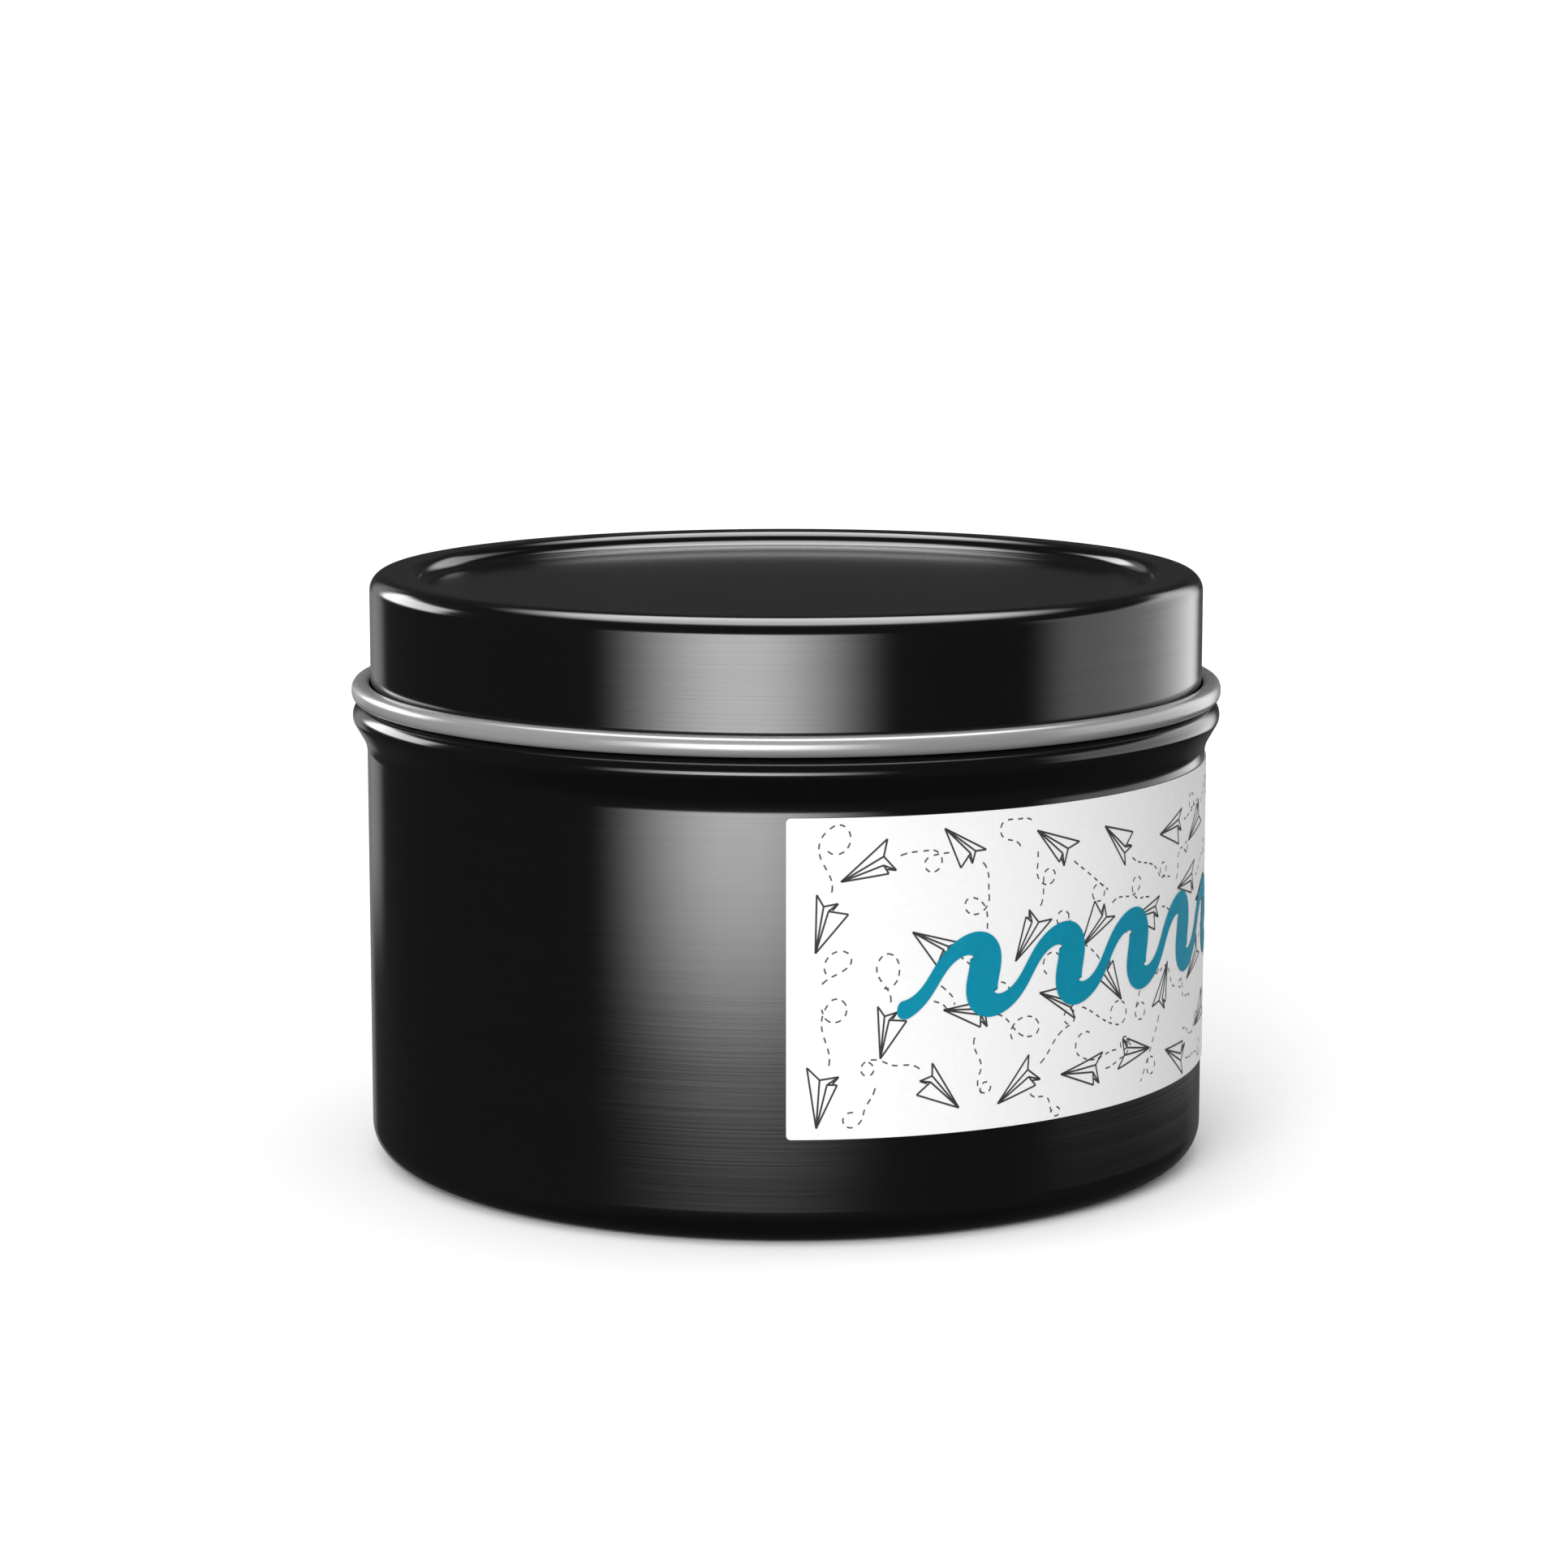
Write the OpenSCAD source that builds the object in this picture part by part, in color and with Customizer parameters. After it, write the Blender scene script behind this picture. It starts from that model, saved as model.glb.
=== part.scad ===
// Round slip-lid candle tin: a drawn sheet-metal body and lid, a wrap-round label,
// poured wax and a cored wick in a crimped sustainer. Millimetres, +Z up,
// origin on the axis at the plane the tin stands on, label edge towards -Y.

/* [Body] */
// Outer radius of the body wall
body_r = 38.65; // [37.5:0.05:40]
// Thickness of the tinplate sheet in the body and the lid
sheet_t = 0.25; // [0.2:0.01:0.28]
// Outside radius of the corner between wall and foot
foot_corner = 3.05; // [2.5:0.05:3.5]
// Height of the recessed base panel above the foot
base_recess = 0.6; // [0.4:0.05:0.8]
// Radius of the recessed base panel
base_panel_r = 32.8; // [30:0.1:33.5]
// Height of the middle of the stacking bead
bead_z = 41.05; // [38:0.05:43]
// Outside radius of the bead's rounded section
bead_round = 1.3; // [1.2:0.05:1.4]
// Outer radius of the neck that the lid slips over
neck_r = 37.8; // [37.7:0.05:37.9]
// Height of the middle of the rolled safe rim
rim_z = 52.5; // [52:0.05:52.6]
// Outside radius of the rim's rolled section
rim_round = 0.75; // [0.65:0.05:0.8]

/* [Lid] */
// Height of the lid's top land, which is the height of the tin
lid_top = 54.05; // [54:0.05:55]
// Radial gap between the neck and the lid wall
lid_gap = 0.23; // [0.15:0.01:0.3]
// Outside radius of the lid's top edge
lid_corner = 1.6; // [1.4:0.05:1.7]
// Depth of the stacking recess in the lid
recess_depth = 1.3; // [1:0.05:1.4]
// Radius where the recess wall meets the flat panel
recess_r = 33.5; // [33:0.1:34]
// Rounding at the top and the foot of the recess wall
recess_round = 1.05; // [0.8:0.05:1.1]
// Outside radius of the lid's rolled edge
curl_round = 0.9; // [0.8:0.05:1]
// Gap between the rolled edge and the bead below it
seat_gap = 0.13; // [0.1:0.01:0.2]

/* [Label] */
// Height of the label's lower edge
label_low = 9.5; // [6:0.1:12]
// Height of the label
label_h = 27.7; // [20:0.1:28]
// Angle that the label wraps round the body
label_wrap = 205; // [120:1:350]
// Thickness of the label stock with its adhesive
label_t = 0.15; // [0.1:0.01:0.2]
// Diameter of the round sticker under the base
base_sticker_d = 50; // [30:1:60]

/* [Candle] */
// Height of the wax surface above the foot
wax_top = 43; // [42.9:0.1:46]
// Diameter of the braided wick
wick_d = 2.6; // [2:0.1:3]
// Diameter of the wick's paper core
core_d = 1; // [0.6:0.1:1.2]
// Length of wick that stands above the wax
wick_stand = 6; // [4:0.5:8]
// Diameter of the sustainer's disc
sustainer_d = 20; // [15:0.5:25]
// Height of the sustainer's crimped collar
collar_h = 6; // [3:0.5:9]
// Diameter of the adhesive dot under the sustainer
dot_d = 19; // [12:0.5:24]
// Thickness of the adhesive dot
dot_t = 0.8; // [0.4:0.1:1.2]

/* [Hidden] */
$fn = 96;

arc_step = 10;                       // degrees between the points of a rounded stretch
recess_slope = 66;                   // steepness of the lid's recess wall, degrees
step_slope = 45;                     // steepness of the step round the base panel, degrees
step_round = 0.7;                    // rounding of that step
cone_angle = 30;                     // lean of the shoulder under the bead, degrees
shoulder_round = 3;                  // rounding where the wall turns into the shoulder
neck_fillet = 0.3;                   // hollow between the bead and the neck
rim_end = 290;                       // angle at which the rolled rim is cut off
curl_end = 500;                      // angle at which the lid's rolled edge is cut off
collar_flare = 0.5;                  // rounding between the sustainer's disc and collar

floor_z = base_recess + sheet_t;     // inside floor of the tin
dot_top = floor_z + dot_t;
disc_top = dot_top + sheet_t;
wick_r = wick_d / 2;
wick_top = wax_top + wick_stand;
lid_r = neck_r + lid_gap + sheet_t;  // outer radius of the lid wall
panel_z = lid_top - recess_depth;
seat = bead_round + curl_round + seat_gap;
curl_r = lid_r + curl_round - 0.05;  // middle of the rolled edge's section
curl_z = bead_z + sqrt(seat ^ 2 - (curl_r - body_r) ^ 2);

// Unit vector along v
function unit(v) = v / norm(v);

// Points of an arc about centre c with radius r, from angle a to angle b
function arc(c, r, a, b) =
    let (n = ceil(abs(b - a) / arc_step))
    [for (i = [0:n]) let (t = a + (b - a) * i / n) c + r * [cos(t), sin(t)]];

// Arc of radius r that rounds the corner b between the lines from a and to c
function corner(a, b, c, r) =
    let (
        u = unit(a - b),
        v = unit(c - b),
        half = acos(u * v) / 2,
        centre = b + unit(u + v) * r / sin(half),
        start = b + u * r / tan(half) - centre,
        finish = b + v * r / tan(half) - centre,
        from = atan2(start.y, start.x),
        sweep = atan2(finish.y, finish.x) - from,
        turn = sweep > 180 ? sweep - 360 : (sweep < -180 ? sweep + 360 : sweep)
    )
    arc(centre, r, from, from + turn);

// The path moved by t to its left
function beside(path, t) =
    let (last = len(path) - 1)
    [for (i = [0:last])
        let (along = unit(path[min(i + 1, last)] - path[max(i - 1, 0)]))
        path[i] + t * [-along.y, along.x]];

// A list in reverse order
function backwards(list) = [for (i = [len(list) - 1:-1:0]) list[i]];

// Section of a sheet that lies to the left of the path, t thick (to the right if t < 0)
module sheet(path, t) {
    polygon(concat(path, backwards(beside(path, t))));
}

// Outside face of the body, from the middle of the base to the top of the neck
step_run = base_recess / tan(step_slope);
base_points = [
    [0, base_recess],
    [base_panel_r, base_recess],
    [base_panel_r + step_run, 0],
    [body_r, 0],
    [body_r, bead_z - bead_round / sin(cone_angle)]
];
bead_centre = [body_r, bead_z];
bead_start = bead_centre + bead_round * [cos(cone_angle), -sin(cone_angle)];
fillet_run = body_r - neck_r - neck_fillet;
fillet_rise = sqrt((bead_round + neck_fillet) ^ 2 - fillet_run ^ 2);
fillet_centre = bead_centre + [-fillet_run, fillet_rise];
fillet_angle = atan2(fillet_rise, -fillet_run);
wall_path = concat(
    [base_points[0]],
    corner(base_points[0], base_points[1], base_points[2], step_round),
    corner(base_points[1], base_points[2], base_points[3], step_round),
    corner(base_points[2], base_points[3], base_points[4], foot_corner),
    corner(base_points[3], base_points[4], bead_start, shoulder_round),
    arc(bead_centre, bead_round, -cone_angle, fillet_angle),
    arc(fillet_centre, neck_fillet, fillet_angle - 180 - arc_step, -180)
);
rim_path = arc([neck_r - rim_round, rim_z], rim_round, 0, rim_end);

// Outside face of the lid, from the middle of the panel to the end of the rolled edge
recess_run = recess_depth / tan(recess_slope);
lid_points = [
    [0, panel_z],
    [recess_r, panel_z],
    [recess_r + recess_run, lid_top],
    [lid_r, lid_top],
    [lid_r, curl_z]
];
turn_r = curl_r - lid_r;
inside_r = curl_round - sheet_t;
lid_path = concat(
    [lid_points[0]],
    corner(lid_points[0], lid_points[1], lid_points[2], recess_round),
    corner(lid_points[1], lid_points[2], lid_points[3], recess_round),
    corner(lid_points[2], lid_points[3], lid_points[4], lid_corner),
    arc([curl_r, curl_z + turn_r - inside_r], turn_r, 180, 270),
    arc([curl_r, curl_z], inside_r, 270 + arc_step, curl_end)
);

// Top face of the sustainer, from the disc's edge to the top of the collar
collar_r = wick_r + sheet_t;
sustainer_path = concat(
    [[sustainer_d / 2, disc_top]],
    corner([sustainer_d / 2, disc_top], [collar_r, disc_top], [collar_r, wax_top], collar_flare),
    [[collar_r, dot_top + collar_h]]
);

// Drawn body: foot, wall, bead, neck and rolled safe rim in one sheet
module tin_body() {
    color("#1c1c1d")
    rotate_extrude()
    sheet(concat(wall_path, rim_path), sheet_t);
}

// Drawn lid: recessed panel, land, wall and outward rolled edge in one sheet
module lid() {
    color("#232324")
    rotate_extrude()
    sheet(lid_path, -sheet_t);
}

// Self-adhesive label, wrapped from the front towards +X
module label() {
    color("#f2f2f0")
    rotate([0, 0, -90])
    rotate_extrude(angle = label_wrap)
    translate([body_r, label_low])
    square([label_t, label_h]);
}

// Plain round sticker in the recess under the base
module base_sticker() {
    color("#e9e7e2")
    translate([0, 0, base_recess - label_t])
    cylinder(d = base_sticker_d, h = label_t);
}

// Space that the wick, sustainer and adhesive dot take up in the wax
module wick_space() {
    square([wick_r, wick_top]);
    translate([0, floor_z - dot_t])
    square([dot_d / 2, 2 * dot_t]);
    polygon(concat([[0, dot_top], [sustainer_d / 2, dot_top]], sustainer_path, [[0, dot_top + collar_h]]));
}

// Poured wax, which fills the tin and the hollow of the bead up to its surface
module wax() {
    color("#efe6cf")
    rotate_extrude()
    difference() {
        intersection() {
            polygon(concat(beside(wall_path, sheet_t), [[0, bead_z + 2 * bead_round]]));
            square([body_r + bead_round, wax_top]);
        }
        wick_space();
    }
}

// Braided cotton wick, hollow for its core
module wick() {
    color("#e8e0cc")
    rotate_extrude()
    translate([core_d / 2, dot_top])
    square([wick_r - core_d / 2, wick_top - dot_top]);
}

// Twisted paper core of the wick
module wick_core() {
    color("#d8cdb2")
    translate([0, 0, dot_top])
    cylinder(d = core_d, h = wick_top - dot_top);
}

// Stamped disc and collar that hold the wick upright
module wick_sustainer() {
    color("#b9bcc0")
    rotate_extrude()
    sheet(sustainer_path, sheet_t);
}

// Foam adhesive dot that fixes the sustainer to the floor of the tin
module wick_dot() {
    color("#f4f4f4")
    translate([0, 0, floor_z])
    cylinder(d = dot_d, h = dot_t);
}

tin_body();
lid();
label();
base_sticker();
wax();
wick();
wick_core();
wick_sustainer();
wick_dot();
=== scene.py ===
# Candle tin: black slip-lid tin with a wrap-round label, wax and a braided wick.
# Every piece is a surface worked out on a grid, in millimetres, and put in the frame in metres.
import math

import bpy
import numpy as np
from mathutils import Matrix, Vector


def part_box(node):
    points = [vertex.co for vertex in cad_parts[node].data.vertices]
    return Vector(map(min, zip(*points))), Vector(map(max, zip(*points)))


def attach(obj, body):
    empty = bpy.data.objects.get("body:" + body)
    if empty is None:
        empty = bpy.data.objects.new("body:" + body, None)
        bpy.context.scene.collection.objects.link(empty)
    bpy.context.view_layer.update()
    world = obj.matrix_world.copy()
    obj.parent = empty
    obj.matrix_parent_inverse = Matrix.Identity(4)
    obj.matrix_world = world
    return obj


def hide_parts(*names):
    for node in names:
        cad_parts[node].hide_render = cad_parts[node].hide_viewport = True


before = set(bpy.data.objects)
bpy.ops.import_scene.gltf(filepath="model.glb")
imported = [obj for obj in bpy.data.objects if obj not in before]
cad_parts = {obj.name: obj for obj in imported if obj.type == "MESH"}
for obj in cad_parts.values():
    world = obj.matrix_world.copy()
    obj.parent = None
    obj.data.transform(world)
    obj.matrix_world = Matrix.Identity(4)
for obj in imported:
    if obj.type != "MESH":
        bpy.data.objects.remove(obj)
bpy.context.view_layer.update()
mm = 0.001
scene = bpy.context.scene
scene.view_settings.view_transform = "Standard"  # the backdrop is to stay plain white
lidBox = [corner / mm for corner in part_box("lid")]
labelBox = [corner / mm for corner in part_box("label")]
waxBox = [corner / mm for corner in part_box("wax")]
wickBox = [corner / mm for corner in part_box("wick")]
sustainerBox = [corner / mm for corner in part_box("wick_sustainer")]
dotBox = [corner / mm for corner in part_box("wick_dot")]
stickerBox = [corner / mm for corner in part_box("base_sticker")]


# outlines: lines and arcs in the (radius, height) plane

# centre + radius * (cos a, sin a), a from start to end in degrees
def arc(centre, radius, start, end, step=6.0):
    count = max(2, int(math.ceil(abs(end - start) / step)) + 1)
    angle = np.radians(np.linspace(start, end, count))
    return np.asarray(centre) + radius * np.stack([np.cos(angle), np.sin(angle)], 1)


# the arc of that radius that touches both lines meeting at corner
def roundCorner(before, corner, after, radius):
    before, corner, after = (np.asarray(p, float) for p in (before, corner, after))
    u = (before - corner) / np.linalg.norm(before - corner)
    v = (after - corner) / np.linalg.norm(after - corner)
    half = math.acos(np.clip(u @ v, -1, 1)) / 2
    centre = corner + (u + v) / np.linalg.norm(u + v) * radius / math.sin(half)
    first = corner + u * radius / math.tan(half) - centre
    last = corner + v * radius / math.tan(half) - centre
    start = math.degrees(math.atan2(first[1], first[0]))
    turn = (math.degrees(math.atan2(last[1], last[0])) - start + 180) % 360 - 180
    return arc(centre, radius, start, start + turn)


# the stretches end to end, without repeated points
def joinPath(*stretches):
    path = np.concatenate([np.atleast_2d(s) for s in stretches]).astype(float)
    keep = np.r_[True, np.linalg.norm(np.diff(path, axis=0), axis=1) > 1e-6]
    return path[keep]


# each point moved by offset to the left of the path's direction there
def besidePath(path, offset):
    ahead = np.vstack([path[1:], path[-1:]])
    behind = np.vstack([path[:1], path[:-1]])
    along = ahead - behind
    along /= np.linalg.norm(along, axis=1)[:, None]
    return path + offset * np.stack([-along[:, 1], along[:, 0]], 1)


# points added on long straight stretches, so that smooth shading stays flat on them
def supportPath(path, longest=2.0, edge=0.12):
    parts = [path[:1]]
    for a, b in zip(path[:-1], path[1:]):
        length = np.linalg.norm(b - a)
        if length > longest:
            inner = np.linspace(edge, length - edge, int(length / longest) + 2) / length
            parts.append(a + inner[:, None] * (b - a))
        parts.append(b[None])
    return np.concatenate(parts)


# surfaces

# a mesh object from points in millimetres, faces, finishes and per-point attributes
def makePiece(name, points, faces, finishes, slot, body="tin", faceFinish=None, **attributes):
    mesh = bpy.data.meshes.new(name)
    mesh.from_pydata((np.asarray(points) * mm).tolist(), [], faces)
    mesh.polygons.foreach_set("use_smooth", np.ones(len(mesh.polygons), bool))
    for finish in finishes:
        mesh.materials.append(finish)
    if faceFinish is not None:
        mesh.polygons.foreach_set("material_index", np.asarray(faceFinish, np.int32))
    for key, values in attributes.items():
        mesh.attributes.new(key, "FLOAT", "POINT").data.foreach_set("value", np.asarray(values, np.float32))
    mesh.validate()
    mesh.update()
    piece = bpy.data.objects.new(name, mesh)
    scene.collection.objects.link(piece)
    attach(piece, body)
    return piece


# (r cos t, r sin t, z) for each profile point (r, z) and turn t, with one point at each pole
# shape(r, z, t) may return moved r and z
def latheGrid(profile, segments, finishOf=None, shape=None):
    flip = np.sum(profile[:-1, 0] * profile[1:, 1] - profile[1:, 0] * profile[:-1, 1]) > 0
    along = np.r_[0, np.cumsum(np.linalg.norm(np.diff(profile, axis=0), axis=1))]
    finishOf = np.zeros(len(profile) - 1, int) if finishOf is None else np.asarray(finishOf)
    if flip:
        profile, along, finishOf = profile[::-1], along[::-1], finishOf[::-1]
    turn = np.linspace(0, 2 * np.pi, segments, endpoint=False)
    r, t = np.meshgrid(profile[:, 0], turn, indexing="ij")
    z = np.repeat(profile[:, 1][:, None], segments, 1)
    if shape is not None:
        r, z = shape(r, z, t)
    rings = np.stack([r * np.cos(t), r * np.sin(t), z], 2)
    pole = profile[:, 0] < 1e-9
    width = np.where(pole, 1, segments)
    first = np.r_[0, np.cumsum(width)]
    points = np.concatenate([ring[:1] if p else ring for ring, p in zip(rings, pole)])
    alongPoint = np.concatenate([np.full(w, a) for w, a in zip(width, along)])
    j = np.arange(segments)
    k = (j + 1) % segments
    faces, finish = [], []
    for i in range(len(profile) - 1):
        a, b = first[i], first[i + 1]
        if pole[i] and pole[i + 1]:
            continue
        if pole[i]:
            strip = np.stack([np.full(segments, a), b + j, b + k], 1)
        elif pole[i + 1]:
            strip = np.stack([a + j, np.full(segments, b), a + k], 1)
        else:
            strip = np.stack([a + j, b + j, b + k, a + k], 1)
        faces += strip.tolist()
        finish += [int(finishOf[i])] * segments
    return points, faces, finish, alongPoint


# a turned sheet: the outside face, then the inside face beside it; finish 0 outside, 1 inside
def latheSheet(outside, thickness, segments=256):
    outside = supportPath(outside)
    inside = besidePath(outside, thickness)[::-1]
    profile = np.concatenate([outside, inside])
    finishOf = np.r_[np.zeros(len(outside) - 1), np.ones(len(inside))]
    return latheGrid(profile, segments, finishOf)


# finishes

# sRGB hex to linear: c / 12.92 below 0.04045, else ((c + 0.055) / 1.055) ** 2.4
def linearColour(code):
    value = np.array([int(code[i:i + 2], 16) / 255 for i in (1, 3, 5)])
    value = np.where(value <= 0.04045, value / 12.92, ((value + 0.055) / 1.055) ** 2.4)
    return (*value.tolist(), 1.0)


# a node with its settings; an input is a value, or the socket that feeds it
def addNode(tree, kind, inputs=None, **settings):
    node = tree.nodes.new(kind)
    for key, value in settings.items():
        setattr(node, key, value)
    for key, value in (inputs or {}).items():
        if isinstance(value, bpy.types.NodeSocket):
            tree.links.new(value, node.inputs[key])
        else:
            node.inputs[key].default_value = value
    return node


# a new material with a Principled shader that has these inputs
def startFinish(name, shader):
    material = bpy.data.materials.new(name)
    material.use_nodes = True
    tree = material.node_tree
    tree.nodes.clear()
    surface = addNode(tree, "ShaderNodeBsdfPrincipled", shader)
    addNode(tree, "ShaderNodeOutputMaterial", {"Surface": surface.outputs[0]})
    return material, tree, surface


# noise pulled out along the turn: long in x and y, short along the profile
def drawnLines(tree, lineLength, lineSpacing):
    place = addNode(tree, "ShaderNodeTexCoord").outputs["Object"]
    flat = addNode(tree, "ShaderNodeMapping",
                   {0: place, "Scale": (1 / (lineLength * mm), 1 / (lineLength * mm), 0)})
    along = addNode(tree, "ShaderNodeAttribute", attribute_name="along").outputs["Fac"]
    rise = addNode(tree, "ShaderNodeMath", {0: along, 1: 1 / lineSpacing}, operation="MULTIPLY").outputs[0]
    lift = addNode(tree, "ShaderNodeCombineXYZ", {"Z": rise}).outputs[0]
    where = addNode(tree, "ShaderNodeVectorMath", {0: flat.outputs[0], 1: lift}, operation="ADD").outputs[0]
    return addNode(tree, "ShaderNodeTexNoise", {"Vector": where, "Scale": 1.0, "Detail": 2.0}).outputs[0]


# source 0.3 to 0.7 spread over low to high
def spreadValue(tree, source, low, high):
    return addNode(tree, "ShaderNodeMapRange", {0: source, 1: 0.3, 2: 0.7, 3: low, 4: high}).outputs[0]


# (-y, x, 0): the direction round the tin, which the drawing marks follow
def turnDirection(tree):
    place = addNode(tree, "ShaderNodeTexCoord").outputs["Object"]
    turn = addNode(tree, "ShaderNodeVectorMath", {0: (0, 0, 1), 1: place}, operation="CROSS_PRODUCT")
    return turn.outputs[0]


lacquer = {
    "colour": "#080809", "roughness": (0.11, 0.14), "specular": (0.455, 0.545), "ior": 1.5,
    "lineLength": 45.0, "lineSpacing": 0.14, "lineHeight": 0.0003,
}


def blackLacquer():
    # baked black lacquer on drawn tinplate: near-black and satin, with the sheet's fine drawing
    # marks showing through as faint rings; the marks are drawn coarser than real so that they show
    material, tree, surface = startFinish("satinBlackLacquer", {
        "Base Color": linearColour(lacquer["colour"]), "IOR": lacquer["ior"]})
    lines = drawnLines(tree, lacquer["lineLength"], lacquer["lineSpacing"])
    bump = addNode(tree, "ShaderNodeBump",
                   {"Height": lines, "Strength": 1.0, "Distance": lacquer["lineHeight"] * mm})
    tree.links.new(bump.outputs[0], surface.inputs["Normal"])
    tree.links.new(spreadValue(tree, lines, *lacquer["roughness"]), surface.inputs["Roughness"])
    tree.links.new(spreadValue(tree, lines, *lacquer["specular"]), surface.inputs["Specular IOR Level"])
    return material


tinplate = {
    "colour": "#9a9a9b", "metallic": 0.25, "roughness": (0.2, 0.28), "anisotropy": 0.3,
    "lineLength": 45.0, "lineSpacing": 0.16, "lineHeight": 0.001,
}


def bareTinplate():
    # electrolytic tinplate with no lacquer, dulled by its oxide film: satin grey metal that is mostly
    # matt, with fine rings from drawing
    material, tree, surface = startFinish("bareTinplate", {
        "Base Color": linearColour(tinplate["colour"]), "Metallic": tinplate["metallic"],
        "Anisotropic": tinplate["anisotropy"], "Anisotropic Rotation": 0.25})
    lines = drawnLines(tree, tinplate["lineLength"], tinplate["lineSpacing"])
    bump = addNode(tree, "ShaderNodeBump",
                   {"Height": lines, "Strength": 1.0, "Distance": tinplate["lineHeight"] * mm})
    tree.links.new(bump.outputs[0], surface.inputs["Normal"])
    tree.links.new(spreadValue(tree, lines, *tinplate["roughness"]), surface.inputs["Roughness"])
    tree.links.new(turnDirection(tree), surface.inputs["Tangent"])
    return material


# two close colours mixed by noise of that grain in mm, with a bump of that height in mm
def mottledFinish(name, colours, roughness, grain, height, shader=None):
    material, tree, surface = startFinish(name, {"Roughness": roughness, **(shader or {})})
    place = addNode(tree, "ShaderNodeTexCoord").outputs["Object"]
    noise = addNode(tree, "ShaderNodeTexNoise", {"Vector": place, "Scale": 1 / (grain * mm), "Detail": 4.0})
    amount = spreadValue(tree, noise.outputs[0], 0.0, 1.0)
    mix = addNode(tree, "ShaderNodeMix", {
        0: amount, 6: linearColour(colours[0]), 7: linearColour(colours[1])}, data_type="RGBA")
    bump = addNode(tree, "ShaderNodeBump",
                   {"Height": noise.outputs[0], "Strength": 1.0, "Distance": height * mm})
    tree.links.new(mix.outputs[2], surface.inputs["Base Color"])
    tree.links.new(bump.outputs[0], surface.inputs["Normal"])
    return material


matt = {"Specular IOR Level": 0.1}  # print and paper that hardly shine
# white label paper, printed: almost smooth, with a very faint fibre mottle
labelPaper = mottledFinish("mattLabelPaper", ("#f4f4f4", "#f7f7f7"), 0.6, 0.6, 0.002, matt)
# toner line work: dark grey, a little duller than the paper
dartToner = mottledFinish("darkGreyToner", ("#3a3b3d", "#444547"), 0.6, 0.4, 0.001, matt)
trailToner = mottledFinish("midGreyToner", ("#4c4d4f", "#58595b"), 0.6, 0.4, 0.001, matt)
# solid teal print
tealInk = mottledFinish("tealPrint", ("#0a88a4", "#0e8ca8"), 0.6, 0.8, 0.001, matt)
# soy wax: cream, translucent, with a soft frosted sheen
soyWax = mottledFinish("creamSoyWax", ("#efe4c8", "#f5edd8"), 0.42, 7.0, 0.05, {
    "Subsurface Weight": 0.5, "Subsurface Radius": (1.0, 0.75, 0.45), "Subsurface Scale": 0.004,
    "IOR": 1.45})
# pre-waxed cotton yarn, matt, with fine fibre mottle
cottonYarn = mottledFinish("waxedCottonYarn", ("#e3d8bd", "#f1e9d6"), 0.7, 0.25, 0.02, {
    "Sheen Weight": 0.3, "Sheen Roughness": 0.5})
# twisted kraft paper yarn
kraftYarn = mottledFinish("twistedPaperYarn", ("#c9b68f", "#d9c9a6"), 0.8, 0.3, 0.02)
# white polyethylene foam with adhesive: matt, with open cells
foamPad = mottledFinish("whiteFoamPad", ("#e6e6e3", "#f2f2ef"), 0.85, 0.5, 0.05)
blackFinish = blackLacquer()
tinFinish = bareTinplate()
print("finishes ready")


# tin body

tin = {
    "wall": 38.65, "sheet": 0.25, "foot": 3.05, "recess": 0.6, "panel": 32.8, "stepRound": 0.7,
    "bead": 41.05, "beadRound": 1.3, "shoulder": 30.0, "shoulderRound": 3.0,
    "neck": 37.8, "fillet": 0.3, "rim": 52.5, "rimRound": 0.75, "rimEnd": 290.0,
}


# base panel, step, foot, wall, shoulder, bead, neck and rolled rim, from the axis outwards
def bodyOutside():
    wall, bead, lean = tin["wall"], np.array([tin["wall"], tin["bead"]]), math.radians(tin["shoulder"])
    base = [(0, tin["recess"]), (tin["panel"], tin["recess"]), (tin["panel"] + tin["recess"], 0), (wall, 0),
            (wall, tin["bead"] - tin["beadRound"] / math.sin(lean))]
    touch = bead + tin["beadRound"] * np.array([math.cos(lean), -math.sin(lean)])
    run = wall - tin["neck"] - tin["fillet"]
    rise = math.sqrt((tin["beadRound"] + tin["fillet"]) ** 2 - run ** 2)
    meet = math.degrees(math.atan2(rise, -run))
    rounds = (tin["stepRound"], tin["stepRound"], tin["foot"], tin["shoulderRound"])
    corners = [roundCorner(*base[:3], rounds[0]), roundCorner(*base[1:4], rounds[1]),
               roundCorner(*base[2:5], rounds[2]), roundCorner(base[3], base[4], touch, rounds[3])]
    return joinPath(base[0], *corners,
                    arc(bead, tin["beadRound"], -tin["shoulder"], meet),
                    arc(bead + (-run, rise), tin["fillet"], meet - 180, -180),
                    arc((tin["neck"] - tin["rimRound"], tin["rim"]), tin["rimRound"], 0, tin["rimEnd"]))


points, faces, finish, along = latheSheet(bodyOutside(), tin["sheet"])
tinBody = makePiece("tinBody", points, faces, [blackFinish, tinFinish], "black_lacquer",
                    faceFinish=finish, along=along)
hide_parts("tin_body")
print("tin body", len(faces))


# lid

lid = {
    "gap": 0.23, "top": lidBox[1].z, "corner": 1.6, "recess": 1.3, "slope": 66.0, "panel": 33.5,
    "panelRound": 1.05, "curl": 0.9, "curlTuck": 0.05, "seat": 0.13, "curlFullness": 2.8,
    "curlEnd": 500.0,
}


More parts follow.
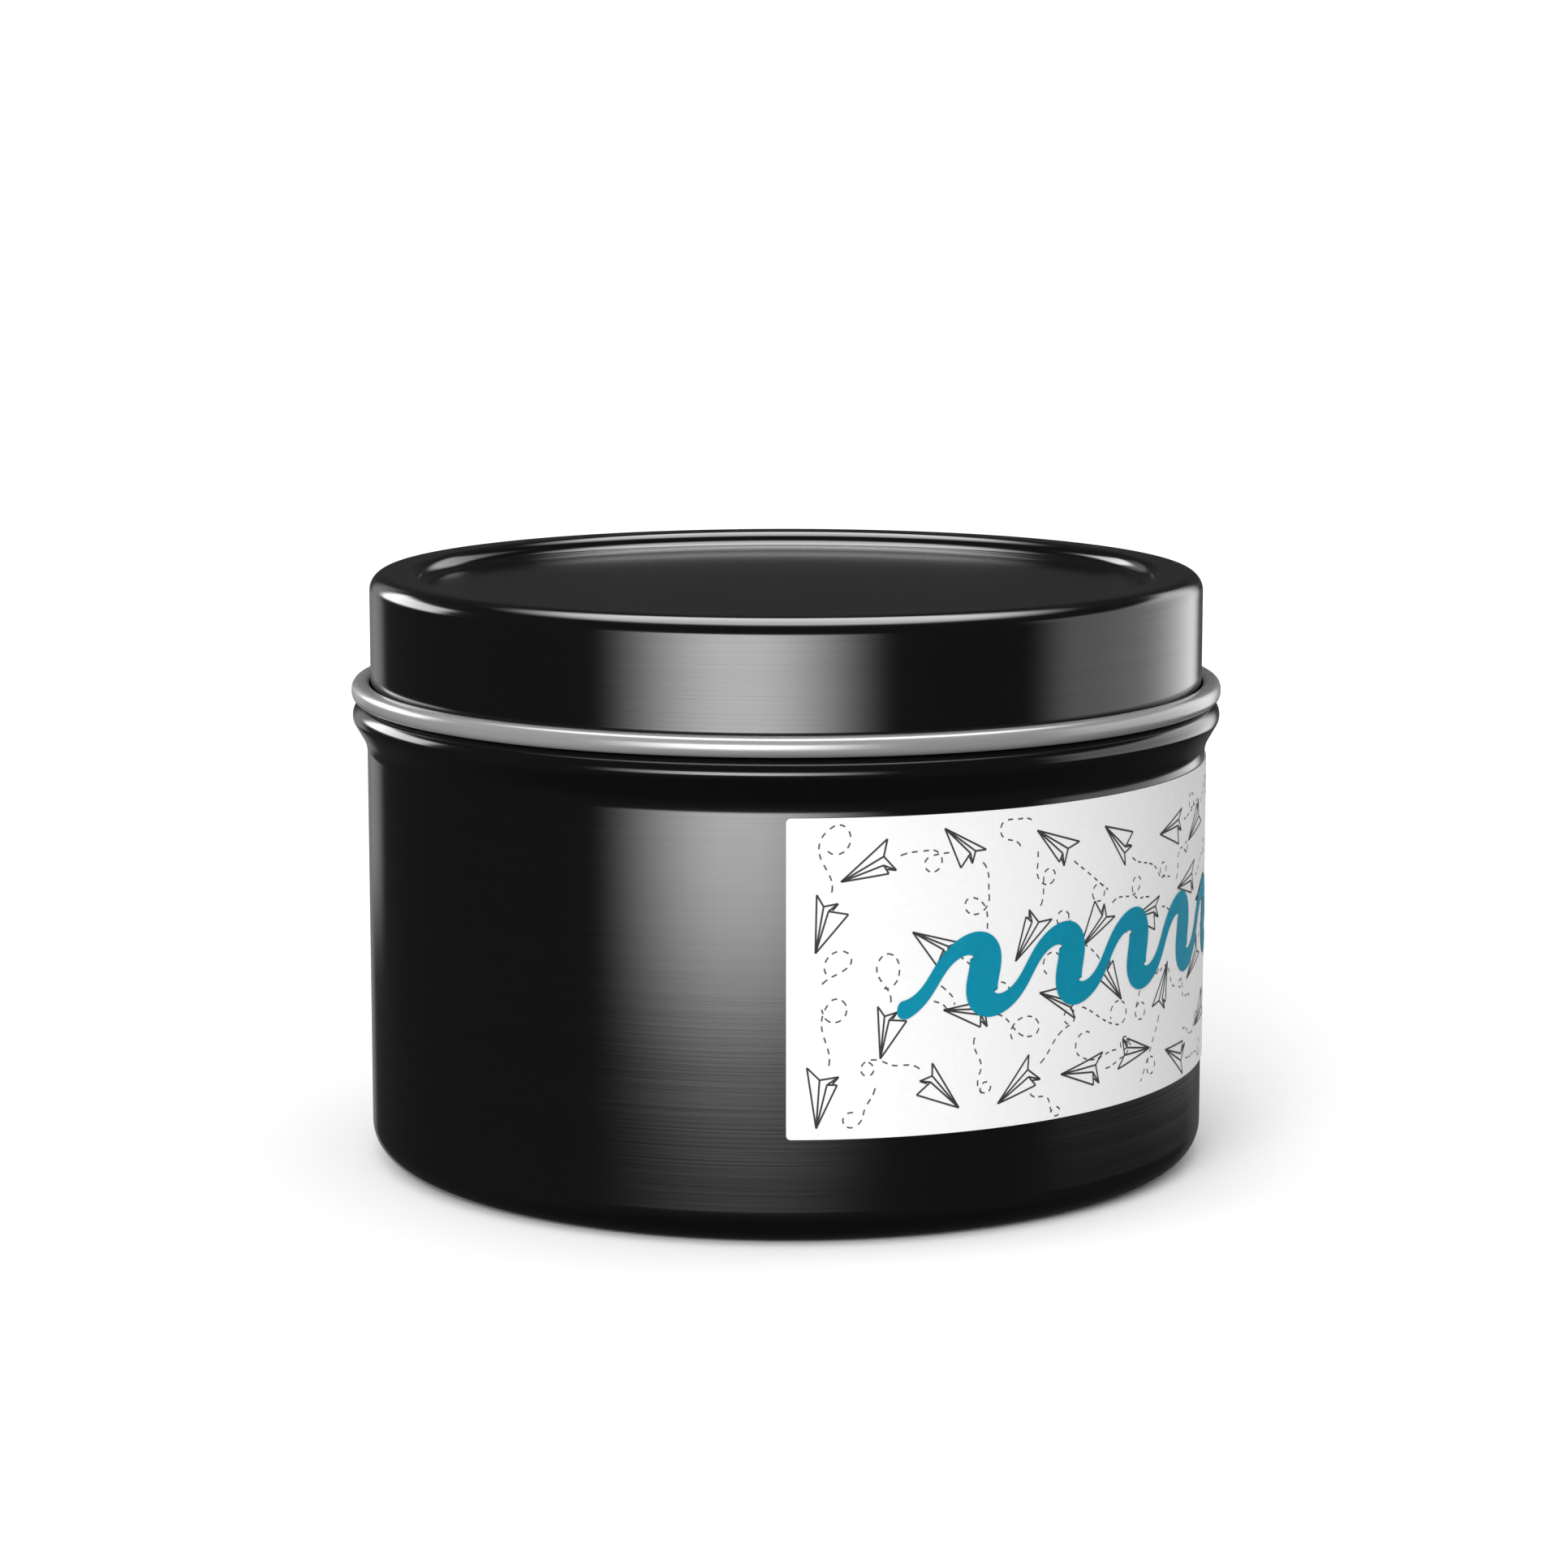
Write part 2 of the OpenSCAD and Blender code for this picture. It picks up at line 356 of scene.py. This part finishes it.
# recessed panel, land, wall and outward roll, from the axis outwards; the roll is a circle pressed
# a little square, |x|^n + |z|^n = radius^n with n the fullness
def lidOutside():
    wall = tin["neck"] + lid["gap"] + tin["sheet"]
    top, panel = lid["top"], lid["top"] - lid["recess"]
    curlR = wall + lid["curl"] - lid["curlTuck"]
    reach = tin["beadRound"] + lid["curl"] + lid["seat"]
    curlZ = tin["bead"] + math.sqrt(reach ** 2 - (curlR - tin["wall"]) ** 2)
    land = lid["panel"] + lid["recess"] / math.tan(math.radians(lid["slope"]))
    line = [(0, panel), (lid["panel"], panel), (land, top), (wall, top), (wall, curlZ)]
    turn, roll = curlR - wall, lid["curl"] - tin["sheet"]
    ring = arc((0, 0), 1.0, 270, lid["curlEnd"])
    ring = np.sign(ring) * np.abs(ring) ** (2 / lid["curlFullness"]) * roll + (curlR, curlZ)
    inner, outer = roundCorner(*line[:3], lid["panelRound"]), roundCorner(*line[1:4], lid["panelRound"])
    return joinPath(line[0], inner, outer, roundCorner(*line[2:5], lid["corner"]),
                    arc((curlR, curlZ + turn - roll), turn, 180, 270), ring)


points, faces, finish, along = latheSheet(lidOutside(), -tin["sheet"])
lidShell = makePiece("lidShell", points, faces, [blackFinish, tinFinish], "black_lacquer", "lid",
                     faceFinish=finish, along=along)
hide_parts("lid")
print("lid", len(faces))


# label

label = {
    "low": labelBox[0].z, "high": labelBox[1].z, "wrap": 205.0, "thick": 0.15, "cornerRound": 0.4,
    "margin": 0.26, "printEdge": 0.06, "lift": 0.012, "waveLift": 0.06, "glue": 0.002,
}
labelHeight = label["high"] - label["low"]
labelLength = math.radians(label["wrap"]) * tin["wall"]


# (s, h) on the flat label to (r cos a, r sin a, low + h), a = s / wall - 90 degrees
def wrapPoints(flat, radius):
    angle = flat[..., 0] / tin["wall"] - math.pi / 2
    return np.stack([radius * np.cos(angle), radius * np.sin(angle), label["low"] + flat[..., 1]], -1)


# a closed thin slab: outer face, inner face and rim; near each end the height is cut in
# by c - sqrt(c^2 - (c - s)^2), which rounds the corners
def labelGrid(columns=360):
    c = label["cornerRound"]
    ease = c * (1 - np.cos(np.linspace(0, np.pi / 2, 10)))
    s = np.r_[ease, np.linspace(c, labelLength - c, columns)[1:-1], labelLength - ease[::-1]]
    near = np.clip(c - np.minimum(s, labelLength - s), 0, c)
    cut = c - np.sqrt(c ** 2 - near ** 2)
    # the rows close to the edges keep the smooth shading flat up to them
    rows = np.r_[0, 0.0012, np.linspace(0.05, 0.95, 7), 0.9988, 1]
    h = cut[:, None] + rows[None] * (labelHeight - 2 * cut)[:, None]
    flat = np.stack([np.repeat(s[:, None], len(rows), 1), h], -1)
    outer = wrapPoints(flat, tin["wall"] + label["thick"])
    inner = wrapPoints(flat, tin["wall"] + label["glue"])
    n, m = len(s), len(rows)
    at = np.arange(n * m).reshape(n, m)
    outerFaces = np.stack([at[:-1, :-1], at[1:, :-1], at[1:, 1:], at[:-1, 1:]], -1).reshape(-1, 4)
    rim = np.concatenate([at[:, 0], at[-1, 1:], at[-2::-1, -1], at[0, -2:0:-1]])
    nextRim = np.roll(rim, -1)
    rimFaces = np.stack([rim, rim + n * m, nextRim + n * m, nextRim], -1)
    faces = np.concatenate([outerFaces, outerFaces[:, ::-1] + n * m, rimFaces])
    return np.concatenate([outer.reshape(-1, 3), inner.reshape(-1, 3)]), faces.tolist()


points, faces = labelGrid()
labelSheet = makePiece("labelSheet", points, faces, [labelPaper], "label_stock")
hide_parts("label")
print("label", len(faces))


# line art on the label

art = {
    "seed": 11, "columns": 17, "rows": 4, "dartLength": (4.2, 5.4), "dartLine": 0.16, "trailLine": 0.14,
    "dash": 0.62, "gap": 0.36, "trailLength": (8.0, 12.0), "loop": (1.4, 2.0), "freeTrails": 26,
    "freeLength": (6.0, 9.0), "spread": 1.4, "clearEnough": 1.2, "insideWeight": 3.0,
}
random = np.random.default_rng(art["seed"])


# a folded paper dart of length 1, nose at (0.5, 0): near wing, keel and far wing
def dartStrokes(near, keel, far):
    nose, tip, fold = (0.5, 0), (-0.5, near), (-0.33, 0.3 * near)
    foot, notch, hinge, wing = (-0.44, -keel), (-0.3, -0.6 * keel), (-0.27, -0.03), (-0.3, -far)
    return [(nose, tip, fold, nose), (fold, foot, notch), (foot, hinge, nose), (hinge, wing, nose)]


dartShapes = [dartStrokes(0.3, 0.24, 0.26), dartStrokes(0.24, 0.16, 0.38), dartStrokes(0.36, 0.2, 0.2)]


# a path whose heading is heading + wander sin(s) plus one full turn at each loop
def trailPath(start, heading, length, loops, wander):
    s = np.linspace(0, length, int(length / 0.1))
    turn = heading + wander * np.sin(2 * np.pi * s / length * 1.3)
    for where, size, way in loops:
        turn = turn + way * 2 * np.pi * np.clip((s - where) / (np.pi * size), 0, 1)
    step = s[1] - s[0]
    return start + np.cumsum(np.stack([np.cos(turn), np.sin(turn)], 1), 0) * step


# points every step along straight lines between corners
def denseLine(corners, step=0.12):
    corners = np.asarray(corners, float)
    parts = [np.linspace(a, b, max(2, int(np.linalg.norm(b - a) / step)), endpoint=False)
             for a, b in zip(corners[:-1], corners[1:])]
    return np.concatenate(parts + [corners[-1:]])


# whether each flat point lies clear of the label's cut edges
def insidePrint(flat):
    side, edge = label["margin"], label["printEdge"]
    across = (flat[:, 0] > side) & (flat[:, 0] < labelLength - side)
    return across & (flat[:, 1] > edge) & (flat[:, 1] < labelHeight - edge)


# a strip of that half width along the line, in quads, left out where it would leave the print
def inkStrip(line, halfWidth):
    side = besidePath(line, 1.0) - line
    width = np.broadcast_to(np.asarray(halfWidth, float), len(line))[:, None]
    left, right = line + side * width, line - side * width
    keep = insidePrint(left) & insidePrint(right)
    i = np.arange(len(line) - 1)[keep[:-1] & keep[1:]]
    quads = np.stack([2 * i, 2 * i + 1, 2 * i + 3, 2 * i + 2], 1)
    return np.stack([left, right], 1).reshape(-1, 2), quads


# all strips as one sheet just above the label
def gatherStrips(strips, lift):
    flat, quads, count = [], [], 0
    for points, faces in strips:
        if len(faces):
            used, renumbered = np.unique(faces, return_inverse=True)
            flat.append(points[used])
            quads.append(renumbered.reshape(-1, 4) + count)
            count += len(used)
    flat, quads = np.concatenate(flat), np.concatenate(quads)
    return wrapPoints(flat, tin["wall"] + label["thick"] + lift), quads[:, ::-1].tolist()


# the stretches of the line that fall on a dash
def splitDashes(line, dash, gap):
    s = np.r_[0, np.cumsum(np.linalg.norm(np.diff(line, axis=0), axis=1))]
    number = np.floor(s / (dash + gap)).astype(int)
    on = s - number * (dash + gap) <= dash
    return [line[on & (number == k)] for k in range(number[-1] + 1) if np.sum(on & (number == k)) > 2]


# least distance from the line to the places already taken
def clearOf(line, taken):
    if not len(taken):
        return 9.0
    return float(np.min(np.linalg.norm(line[::6, None] - np.asarray(taken)[None], axis=2)))


# how well a trail fits: its distance from the rest, up to enough, and how much of it is on the label
def roomFor(trail, clear):
    return min(art["clearEnough"], clear) + art["insideWeight"] * np.mean(insidePrint(trail))


dartStrips, trailStrips, taken = [], [], []
cellS, cellH = labelLength / art["columns"], labelHeight / art["rows"]
places = [np.array([(c + 0.5 + 0.5 * (r % 2)) * cellS, (r + 0.5) * cellH])
          + random.uniform(-art["spread"], art["spread"], 2)
          for c in range(art["columns"]) for r in range(art["rows"])]
# one dart to a cell, each with the best of several trails behind it
for place in places:
    size = random.uniform(*art["dartLength"])
    strokes = dartShapes[random.integers(len(dartShapes))]
    mirror = random.choice([-1.0, 1.0])
    best = None
    for attempt in range(24):
        heading = random.uniform(0, 2 * np.pi)
        ahead = np.array([math.cos(heading), math.sin(heading)])
        tail = place - 0.5 * size * ahead
        length = random.uniform(*art["trailLength"])
        loop = (random.uniform(0.25, 0.6) * length, random.uniform(*art["loop"]), random.choice([-1.0, 1.0]))
        trail = trailPath(tail - 0.4 * ahead, heading + np.pi, length, [loop], random.uniform(-0.9, 0.9))
        room = roomFor(trail, clearOf(trail[8:], taken + [p for p in places if p is not place]))
        if best is None or room > best[0]:
            best = (room, heading, trail)
    room, heading, trail = best
    turn = np.array([[math.cos(heading), math.sin(heading)], [-math.sin(heading), math.cos(heading)]])
    for stroke in strokes:
        corners = np.array(stroke) * (1, mirror) * size @ turn + place
        for pair in zip(corners[:-1], corners[1:]):
            dartStrips.append(inkStrip(denseLine(pair), art["dartLine"] / 2))
    for dash in splitDashes(trail, art["dash"], art["gap"]):
        trailStrips.append(inkStrip(dash, art["trailLine"] / 2))
    taken += list(trail[::10])

# more trails where there is room
for number in range(art["freeTrails"]):
    best = None
    for attempt in range(60):
        start = random.uniform((1, 1), (labelLength - 1, labelHeight - 1))
        length = random.uniform(*art["freeLength"])
        loop = (random.uniform(0.3, 0.6) * length, random.uniform(*art["loop"]), random.choice([-1.0, 1.0]))
        trail = trailPath(start, random.uniform(0, 2 * np.pi), length, [loop], random.uniform(-1.2, 1.2))
        room = roomFor(trail, clearOf(trail, taken + places))
        if best is None or room > best[0]:
            best = (room, trail)
    for dash in splitDashes(best[1], art["dash"], art["gap"]):
        trailStrips.append(inkStrip(dash, art["trailLine"] / 2))
    taken += list(best[1][::10])

darts, trails = gatherStrips(dartStrips, 2 * label["lift"]), gatherStrips(trailStrips, label["lift"])
labelDarts = makePiece("labelDarts", *darts, [dartToner], "label_stock")
labelTrails = makePiece("labelTrails", *trails, [trailToner], "label_stock")
print("label art", len(labelDarts.data.polygons), len(labelTrails.data.polygons))

wave = {"start": 10.5, "end": labelLength - 9.0, "middle": 13.6, "swing": 1.36, "period": 15.5,
        "slant": 0.42, "middleHalf": 1.0, "press": 0.52, "step": 0.08, "longest": 400.0}


# heading = swing sin(2 pi s / period), then x moves by slant y; half width = middleHalf - press sin(heading
# of the slanted line), so that strokes coming down are thick, with round ends
def waveStrip():
    step = wave["step"]
    s = np.arange(0, wave["longest"], step)
    heading = wave["swing"] * np.sin(2 * np.pi * s / wave["period"])
    line = np.cumsum(np.stack([np.cos(heading), np.sin(heading)], 1), 0) * step
    line[:, 1] -= (line[:, 1].max() + line[:, 1].min()) / 2
    line[:, 0] += wave["slant"] * line[:, 1]
    count = int(np.argmax(line[:, 0] > wave["end"] - wave["start"]))
    line = line[:count] + (wave["start"], wave["middle"])
    ahead = np.gradient(line, axis=0)
    ahead /= np.linalg.norm(ahead, axis=1)[:, None]
    half = wave["middleHalf"] - wave["press"] * ahead[:, 1]
    reach = np.minimum(np.arange(count), np.arange(count)[::-1]) * step
    half = np.where(reach < half, np.sqrt(np.maximum(half ** 2 - (half - reach) ** 2, 0.0001)), half)
    return inkStrip(line, half)


labelWave = makePiece("labelWave", *gatherStrips([waveStrip()], label["waveLift"]), [tealInk], "label_stock")
print("label wave", len(labelWave.data.polygons))


# sticker under the base

sticker = {"radius": stickerBox[1].x, "low": stickerBox[0].z, "high": stickerBox[1].z, "ring": (22.4, 22.8),
           "edge": 0.05}


# a disc with eased edges; the printed ring is its own stretch of the lower face
def stickerProfile():
    r, low, high, e = sticker["radius"], sticker["low"], sticker["high"], sticker["edge"]
    return np.array([(0, low), (8, low), (16, low), (sticker["ring"][0], low), (sticker["ring"][1], low),
                     (r - e, low), (r, low + e), (r, high - e), (r - e, high), (0, high)])


points, faces, finish, along = latheGrid(stickerProfile(), 160, [0, 0, 0, 1, 0, 0, 0, 0, 0])
baseSticker = makePiece("baseSticker", points, faces, [labelPaper, trailToner], "label_stock",
                        faceFinish=finish)
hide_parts("base_sticker")


# wax

wax = {"top": waxBox[1].z, "dish": 0.5, "crown": 0.25, "climb": 0.5, "climbWidth": 0.8, "hole": 1.25,
       "holeDepth": 3.0, "wickClimb": 0.35, "wickClimbWidth": 0.6, "wave": 0.06, "gap": 0.01}


# inside of the tin up to the surface, then the surface: dish below the top and crown lower still at
# the middle, crown (1 - (r / wall)^2), with a lip of climb exp(-distance / width) at wall and wick
def waxProfile():
    inside = besidePath(bodyOutside(), tin["sheet"] + wax["gap"])
    inside = inside[: int(np.argmax(inside[:, 1] > wax["top"])) - 1]
    wall = tin["neck"] - tin["sheet"] - 2 * wax["gap"]
    r = np.concatenate([wall - np.geomspace(0.02, 10, 26), np.linspace(wall - 12, 3, 12),
                        np.geomspace(2.8, wax["hole"], 10)])
    lip = wax["climb"] * np.exp(-(wall - r) / wax["climbWidth"])
    lip += wax["wickClimb"] * np.exp(-(r - wax["hole"]) / wax["wickClimbWidth"])
    z = wax["top"] - wax["dish"] - wax["crown"] * (1 - (r / wall) ** 2) + lip
    bottom = wax["top"] - wax["holeDepth"]
    core = np.array([[wax["hole"], bottom], [0, bottom]])
    return joinPath(inside, np.stack([r, z], 1), core)


# the surface moves by wave (sin(3 t + r / 5) + sin(5 t - r / 3) / 2), fading out near wall and wick
def waxRipple(r, z, t):
    top = (z > wax["top"] - 1.5) & (r > wax["hole"] + 0.3) & (r < tin["neck"] - 1.0)
    fade = np.clip((r - wax["hole"]) / 6, 0, 1) * np.clip((tin["neck"] - 1.0 - r) / 6, 0, 1)
    ripple = wax["wave"] * (np.sin(3 * t + r / 5) + 0.5 * np.sin(5 * t - r / 3))
    return r, z + np.where(top, ripple * fade, 0)


points, faces, finish, along = latheGrid(waxProfile(), 180, shape=waxRipple)
waxFill = makePiece("waxFill", points, faces, [soyWax], "soy_wax")
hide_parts("wax")
print("wax", len(faces))


# wick

wick = {"strands": 6, "pitch": 8.0, "middle": 0.98, "weave": 0.11, "yarn": 0.2, "step": 0.25, "sides": 8,
        "core": 0.44, "twist": 0.12, "lay": 3.0, "low": wickBox[0].z, "high": wickBox[1].z}


# a round tube of that radius along the line, closed by a flat face at both ends
def sweepTube(line, radius, sides):
    along = np.gradient(line, axis=0)
    along /= np.linalg.norm(along, axis=1)[:, None]
    out = line * (1, 1, 0)
    out /= np.linalg.norm(out, axis=1)[:, None]
    side = np.cross(along, out)
    out = np.cross(side, along)
    angle = np.linspace(0, 2 * np.pi, sides, endpoint=False)
    ring = np.cos(angle)[None, :, None] * out[:, None] + np.sin(angle)[None, :, None] * side[:, None]
    points = (line[:, None] + radius * ring).reshape(-1, 3)
    i, j = np.meshgrid(np.arange(len(line) - 1), np.arange(sides), indexing="ij")
    k = (j + 1) % sides
    quads = np.stack([i * sides + j, i * sides + k, (i + 1) * sides + k, (i + 1) * sides + j], -1)
    ends = [list(range(sides))[::-1], [(len(line) - 1) * sides + n for n in range(sides)]]
    return points, quads.reshape(-1, 4).tolist() + ends


# angle = way 2 pi z / pitch + 2 pi number / strands; radius = middle + way weave cos(2 pi strands z / pitch)
def braidStrand(number, way):
    z = np.arange(wick["low"] + wick["yarn"], wick["high"] - wick["yarn"], wick["step"])
    angle = way * 2 * np.pi * z / wick["pitch"] + 2 * np.pi * number / wick["strands"]
    radius = wick["middle"] + way * wick["weave"] * np.cos(2 * np.pi * wick["strands"] * z / wick["pitch"])
    return np.stack([radius * np.cos(angle), radius * np.sin(angle), z], 1)


# several point and face lists as one
def joinMeshes(parts):
    points, faces, count = [], [], 0
    for somePoints, someFaces in parts:
        points.append(somePoints)
        faces += [[v + count for v in face] for face in someFaces]
        count += len(somePoints)
    return np.concatenate(points), faces


strands = []
for way in (1, -1):
    for number in range(wick["strands"]):
        strands.append(sweepTube(braidStrand(number, way), wick["yarn"], wick["sides"]))
braidedWick = makePiece("braidedWick", *joinMeshes(strands), [cottonYarn], "wick_cotton")
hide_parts("wick")


# radius (1 + twist cos(3 t - 2 pi z / lay)): three plies twisted together
def twistedCore(r, z, t):
    return r * (1 + wick["twist"] * np.cos(3 * t - 2 * np.pi * z / wick["lay"])), z


coreLine = supportPath(np.array([(0, wick["low"]), (wick["core"], wick["low"]), (wick["core"], wick["high"]),
                                 (0, wick["high"])]), longest=0.4, edge=0.05)
points, faces, finish, along = latheGrid(coreLine, 24, shape=twistedCore)
wickCore = makePiece("wickCore", points, faces, [kraftYarn], "wick_paper")
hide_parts("wick_core")
print("wick", len(braidedWick.data.polygons), len(faces))


# sustainer and its adhesive dot

sustainer = {"disc": sustainerBox[1].x, "low": sustainerBox[0].z, "high": sustainerBox[1].z, "bore": 1.3,
             "flare": 0.5, "crimps": 4, "crimpDepth": 0.16, "crimpLow": 2.5, "crimpHigh": 0.3}


# top face of the disc, turned up into the collar
def sustainerLine():
    outer = sustainer["bore"] + tin["sheet"]
    disc = sustainer["low"] + tin["sheet"]
    rim, lip = (sustainer["disc"], disc), (outer, sustainer["high"])
    corner = roundCorner(rim, (outer, disc), lip, sustainer["flare"])
    return supportPath(joinPath(rim, corner, lip), longest=0.4, edge=0.05)


# the collar is pinched in by depth cos(crimps t / 2)^8 from crimpLow above the disc to crimpHigh
# below its top, each end eased over a short rise; the disc itself stays as it is
def crimpCollar(r, z, t):
    up = np.clip((z - sustainer["low"] - sustainer["crimpLow"]) / 1.0, 0, 1)
    up *= np.clip((sustainer["high"] - sustainer["crimpHigh"] - z) / 0.5, 0, 1)
    near = np.clip(2.5 - r, 0, 1)
    return r - sustainer["crimpDepth"] * up * near * np.cos(sustainer["crimps"] * t / 2) ** 8, z


top = sustainerLine()
loop = np.concatenate([top, besidePath(top, tin["sheet"])[::-1], top[:1]])
points, faces, finish, along = latheGrid(loop, 96, shape=crimpCollar)
wickSustainer = makePiece("wickSustainer", points, faces, [tinFinish], "bare_tinplate", along=along)
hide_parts("wick_sustainer")

dot = {"radius": dotBox[1].x, "low": dotBox[0].z, "high": dotBox[1].z, "edge": 0.15}


# a disc of foam with rounded edges
def dotLine():
    line = [(0, dot["low"]), (dot["radius"], dot["low"]), (dot["radius"], dot["high"]), (0, dot["high"])]
    low, high = roundCorner(*line[:3], dot["edge"]), roundCorner(*line[1:], dot["edge"])
    return supportPath(joinPath(line[0], low, high, line[3]))


points, faces, finish, along = latheGrid(dotLine(), 96)
wickDot = makePiece("wickDot", points, faces, [foamPad], "adhesive_foam")
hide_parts("wick_dot")
print("sustainer and dot", len(faces))


# floor, light and camera

studio = {
    "floorSize": 40.0, "floorColour": "#fafafa", "white": 1.05, "ambient": 0.045,
    # light on matt surfaces: strength all round, what the zenith adds and what one side adds
    "diffuse": 0.5, "above": 0.85, "side": 0.25, "sideAzimuth": -50,
    # softboxes seen in the gloss, each with azimuth from and to and elevation from and to, every limit
    # followed by its soft edge, all in degrees, then strength; azimuth 0 is behind the camera
    "boxes": [
        ((-34, 20, 10, 20), (-11.7, 0.7, 8, 3), 11.4),
        ((76, 9, 155.5, 5), (-12, 0.8, 26, 3), 1.5),
        ((124, 14, 150, 5), (-12, 0.8, 26, 3), 0.8),
        ((148, 5, 170, 5), (-20, 6, -4, 3), 0.06),
        ((-146, 4, -108, 4), (3, 3, 23, 3), 6.5),
        ((-160, 4, -146, 4), (-10.7, 0.9, 20, 5), 0.45),
        ((-174, 4, -160, 4), (-30, 6, -4, 3), 0.25),
        ((-100, 30, 100, 30), (-40, 10, 60, 20), 0.04),
    ],
    # a round softbox above, leaning back from the zenith, wider than deep
    "overhead": {"lean": 8, "radius": 29, "edge": 9, "squash": 0.9, "strength": 9.5},
}


def buildFloor():
    half = studio["floorSize"] / 2
    corners = [(-half, -half, 0), (half, -half, 0), (half, half, 0), (-half, half, 0)]
    mesh = bpy.data.meshes.new("floor")
    mesh.from_pydata(corners, [], [(0, 1, 2, 3)])
    mesh.materials.append(startFinish("paleFloor", {
        "Base Color": linearColour(studio["floorColour"]), "Roughness": 0.9, "Specular IOR Level": 0.0})[0])
    floor = bpy.data.objects.new("floor", mesh)
    scene.collection.objects.link(floor)
    # a light table: the tin is lit from below as from all round, and its gloss shows the softboxes
    floor.visible_glossy = floor.visible_diffuse = False


# 0 below low, 1 between low and high, 0 above, each with its own smooth edge; all in degrees
def softEdge(tree, value, low, lowEdge, high, highEdge):
    low, lowEdge, high, highEdge = (math.radians(v) for v in (low, lowEdge, high, highEdge))
    rise = addNode(tree, "ShaderNodeMapRange", {0: value, 1: low - lowEdge, 2: low + lowEdge},
                   interpolation_type="SMOOTHSTEP")
    fall = addNode(tree, "ShaderNodeMapRange", {
        0: value, 1: high - highEdge, 2: high + highEdge, 3: 1.0, 4: 0.0}, interpolation_type="SMOOTHSTEP")
    both = addNode(tree, "ShaderNodeMath", {0: rise.outputs[0], 1: fall.outputs[0]}, operation="MULTIPLY")
    return both.outputs[0]


# white to the eye and to matt surfaces; softboxes on grey to glossy ones
def buildWorld():
    world = bpy.data.worlds.new("studio")
    world.use_nodes = True
    scene.world = world
    world.cycles.sampling_method = "NONE"
    tree = world.node_tree
    tree.nodes.clear()
    view = addNode(tree, "ShaderNodeTexCoord").outputs["Generated"]

    def maths(operation, a, b=0.0):
        return addNode(tree, "ShaderNodeMath", {0: a, 1: b}, operation=operation).outputs[0]

    def towards(x, y, z):
        dot = addNode(tree, "ShaderNodeVectorMath", {0: view, 1: (x, y, z)}, operation="DOT_PRODUCT")
        return dot.outputs["Value"]

    elevation = maths("ARCSINE", towards(0, 0, 1))
    total = studio["ambient"]
    for (start, startEdge, end, endEdge), heights, strength in studio["boxes"]:
        middle = math.radians((start + end) / 2)
        azimuth = maths("ARCTAN2", towards(math.cos(middle), math.sin(middle), 0),
                        towards(math.sin(middle), -math.cos(middle), 0))
        half = (end - start) / 2
        wide = softEdge(tree, azimuth, -half, startEdge, half, endEdge)
        box = maths("MULTIPLY", wide, softEdge(tree, elevation, *heights))
        total = maths("ADD", maths("MULTIPLY", box, strength), total)
    # the overhead softbox: 1 where the sine of the angle from its axis is small
    overhead = studio["overhead"]
    lean = math.radians(overhead["lean"])
    across = maths("POWER", towards(overhead["squash"], 0, 0), 2.0)
    deep = maths("POWER", towards(0, math.cos(lean), -math.sin(lean)), 2.0)
    fromAxis = maths("ARCSINE", maths("SQRT", maths("ADD", across, deep)))
    disc = maths("MULTIPLY", softEdge(tree, fromAxis, -90, 1, overhead["radius"], overhead["edge"]),
                 maths("GREATER_THAN", towards(0, math.sin(lean), math.cos(lean))))
    total = maths("ADD", maths("MULTIPLY", disc, overhead["strength"]), total)
    side = math.radians(studio["sideAzimuth"])
    sided = maths("ADD", towards(studio["side"] * math.sin(side), -studio["side"] * math.cos(side), 0),
                  studio["diffuse"])
    sided = maths("ADD", sided, maths("MAXIMUM", towards(0, 0, studio["above"])))
    white = (1, 1, 1, 1)
    path = addNode(tree, "ShaderNodeLightPath").outputs

    def glow(strength):
        return addNode(tree, "ShaderNodeBackground", {"Color": white, "Strength": strength}).outputs[0]

    def choose(ray, otherwise, chosen):
        return addNode(tree, "ShaderNodeMixShader", {0: path[ray], 1: otherwise, 2: chosen}).outputs[0]

    every = choose("Is Glossy Ray", choose("Is Camera Ray", glow(sided), glow(studio["white"])), glow(total))
    addNode(tree, "ShaderNodeOutputWorld", {"Surface": every})


# the key: far off, low and broad, so that the shadow falls softly to the right and back
key = {"azimuth": -22, "elevation": 26, "strength": 1.43, "spread": 30}


def buildKey():
    light = bpy.data.lights.new("key", "SUN")
    light.energy, light.angle = key["strength"], math.radians(key["spread"])
    lamp = bpy.data.objects.new("key", light)
    lamp.rotation_euler = (math.radians(90 - key["elevation"]), 0, math.radians(key["azimuth"]))
    lamp.visible_glossy = False
    scene.collection.objects.link(lamp)


camera = {"distance": 0.3987, "height": 0.0977, "tilt": 9.085, "lens": 99.8, "shift": -0.00134}


def buildCamera():
    data = bpy.data.cameras.new("camera")
    data.lens, data.sensor_width, data.shift_x = camera["lens"], 36.0, camera["shift"]
    data.clip_start, data.clip_end = 0.01, 100.0
    eye = bpy.data.objects.new("camera", data)
    eye.location = (0, -camera["distance"], camera["height"])
    eye.rotation_euler = (math.radians(90 - camera["tilt"]), 0, 0)
    scene.collection.objects.link(eye)
    scene.camera = eye


buildFloor()
buildWorld()
buildKey()
buildCamera()
print("studio ready")
